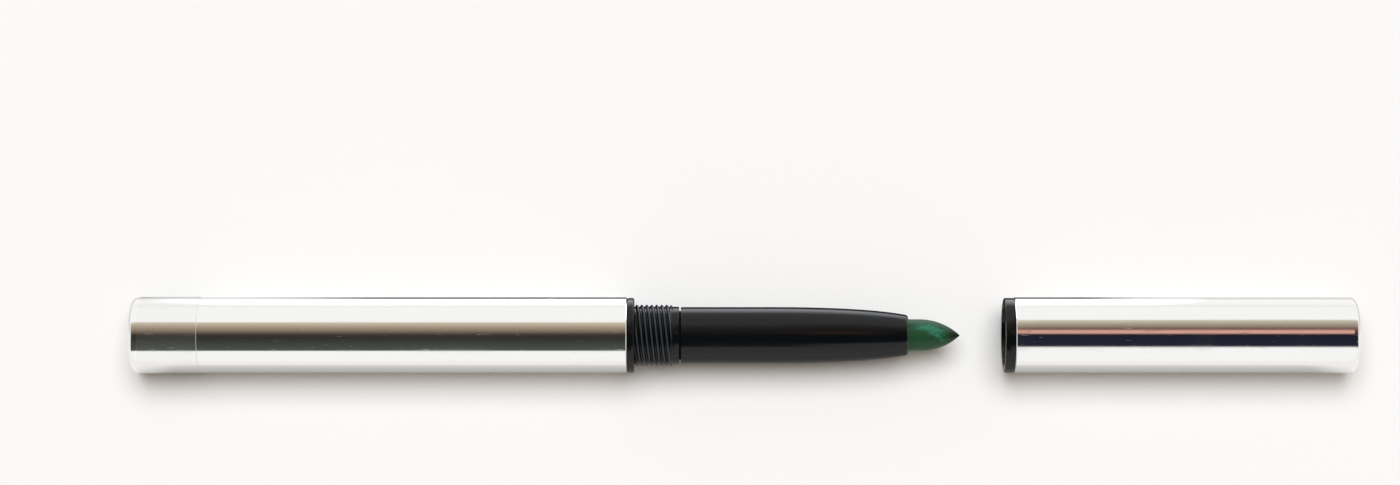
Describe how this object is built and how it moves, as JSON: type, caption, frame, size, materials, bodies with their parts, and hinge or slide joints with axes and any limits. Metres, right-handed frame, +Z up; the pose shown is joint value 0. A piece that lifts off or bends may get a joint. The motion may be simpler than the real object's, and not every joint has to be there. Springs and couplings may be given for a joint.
{
  "type": "kohl pencil",
  "caption": "Twist-up kohl pencil with a bright metal barrel, a black threaded neck and tapered nose, a dark green kohl stick, and a matching metal cap taken off in line with it.",
  "frame": {"origin": "on the table, under the middle of the pencil and its cap as they lie in line", "axes": "+X along the pencil towards the kohl and the cap, +Z up from the table"},
  "size_m": [0.1608, 0.0102, 0.0102],
  "materials": {
    "bright_aluminium": "bright, drawn and polished",
    "clear_film": "clear gloss film",
    "black_plastic": "moulded, satin gloss",
    "natural_acetal": "moulded, undyed",
    "black_rubber": "moulded, matt",
    "green_kohl": "cast wax pigment, satin"
  },
  "bodies": {
    "barrel": {"barrel_shell": "bright_aluminium", "shade_label": "clear_film", "neck_sleeve": "black_plastic", "friction_ring": "black_rubber", "feed_nut": "natural_acetal"},
    "nose": {"nose_cone": "black_plastic"},
    "lead": {"lead_holder": "natural_acetal", "feed_screw": "natural_acetal", "kohl_stick": "green_kohl"},
    "cap": {"cap_shell": "bright_aluminium", "cap_liner": "black_plastic"}
  },
  "joints": [
    {"name": "nose_twist", "type": "hinge", "parent": "barrel", "child": "nose", "pos_m": [0, 0, 0.00508], "axis": [-1, 0, 0], "range_deg": [-1426, 156]},
    {"name": "lead_feed", "type": "slide", "parent": "nose", "child": "lead", "axis": [1, 0, 0], "range_m": [-0.0198, 0.00216]},
    {"name": "cap_pull", "type": "slide", "parent": "barrel", "child": "cap", "axis": [1, 0, 0], "range_m": [-0.0485, 0.01]}
  ],
  "couplings": [
    {"joint": "nose_twist", "follows": "lead_feed", "rad_per_m": 1256.6}
  ]
}
